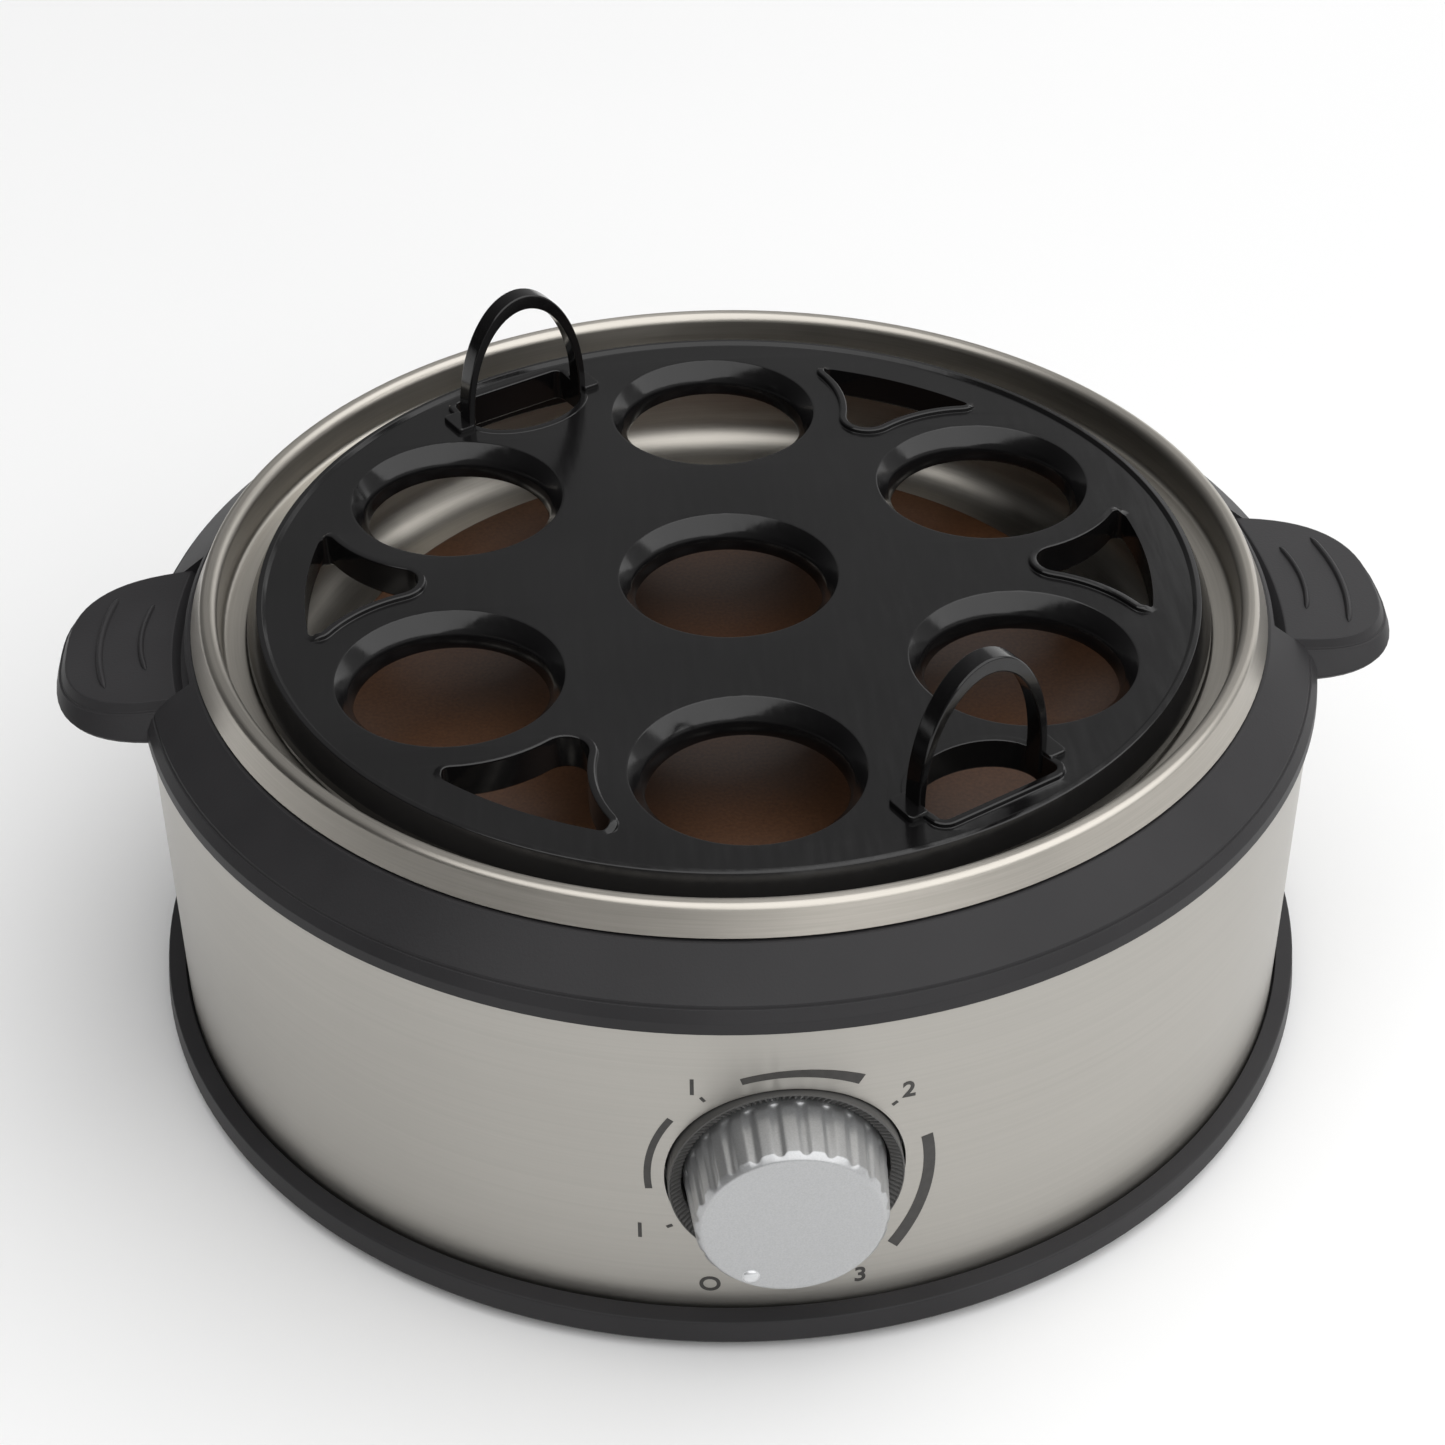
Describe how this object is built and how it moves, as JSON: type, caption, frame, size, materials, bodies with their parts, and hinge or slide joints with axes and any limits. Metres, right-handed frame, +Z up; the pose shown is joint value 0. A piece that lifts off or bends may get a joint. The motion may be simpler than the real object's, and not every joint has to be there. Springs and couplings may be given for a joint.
{
  "type": "egg cooker",
  "caption": "Round electric egg cooker with a brushed steel sleeve, black handled top ring, turn knob and a lift-out egg tray over a steam pan.",
  "frame": {"origin": "on the body's vertical axis, on the table surface under the feet", "axes": "+Z up; the knob faces -Y; the two handles point along +X and -X"},
  "size_m": [0.206, 0.1961, 0.0912],
  "materials": {
    "body_plastic": "satin black moulded plastic",
    "tray_plastic": "glossy black moulded plastic",
    "sleeve_steel": "stainless steel brushed round the body",
    "pan_steel": "spun stainless steel, fine turned grain",
    "plate_coating": "dark brown non-stick coating",
    "cast_aluminium": "dull aluminium",
    "zinc_steel": "zinc-plated steel",
    "nut_brass": "turned brass",
    "knob_silver": "silver-painted plastic with a satin face",
    "bezel_plastic": "dark grey plastic with fine radial ribs",
    "pointer_plastic": "clear polished dot",
    "foot_rubber": "matt black rubber",
    "cream_plastic": "cream heat-resistant plastic and ceramic",
    "lead_sleeving": "silicone-covered wire"
  },
  "bodies": {
    "base": {"base_ring": "body_plastic", "bottom_cover": "body_plastic", "foot_1": "foot_rubber", "foot_2": "foot_rubber", "foot_3": "foot_rubber", "foot_4": "foot_rubber", "case_screw_1": "zinc_steel", "case_screw_2": "zinc_steel", "case_screw_3": "zinc_steel", "steel_sleeve": "sleeve_steel", "top_ring": "body_plastic", "heating_pan": "pan_steel", "pan_clip_1": "zinc_steel", "pan_clip_2": "zinc_steel", "pan_clip_3": "zinc_steel", "heating_plate": "plate_coating", "heating_element": "cast_aluminium", "element_pin_1": "zinc_steel", "element_pin_2": "zinc_steel", "heat_shield": "cast_aluminium", "plate_stud_1": "zinc_steel", "plate_stud_2": "zinc_steel", "plate_stud_3": "zinc_steel", "stud_nut_1": "zinc_steel", "stud_nut_2": "zinc_steel", "stud_nut_3": "zinc_steel", "limit_thermostat": "cream_plastic", "thermostat_strap": "zinc_steel", "thermal_fuse": "cream_plastic", "control_body": "cream_plastic", "control_bracket": "zinc_steel", "control_screw_1": "zinc_steel", "control_screw_2": "zinc_steel", "bushing_nut": "nut_brass", "knob_bezel": "bezel_plastic", "cord_gland": "foot_rubber", "terminal_block": "cream_plastic", "supply_lead": "lead_sleeving", "switch_lead": "lead_sleeving", "load_lead": "lead_sleeving", "return_lead": "lead_sleeving"},
    "knob": {"knob": "knob_silver", "knob_pointer": "pointer_plastic", "control_shaft": "zinc_steel", "knob_spring": "zinc_steel"},
    "tray": {"egg_tray": "tray_plastic", "lift_loop_1": "tray_plastic", "lift_loop_2": "tray_plastic"}
  },
  "joints": [
    {"name": "knob_turn", "type": "hinge", "parent": "base", "child": "knob", "pos_m": [0, -0.0985, 0.0314], "axis": [0, 1, 0], "range_deg": [0, 300]},
    {"name": "tray_lift", "type": "slide", "parent": "base", "child": "tray", "axis": [0, 0, 1], "range_m": [0, 0.08]}
  ]
}
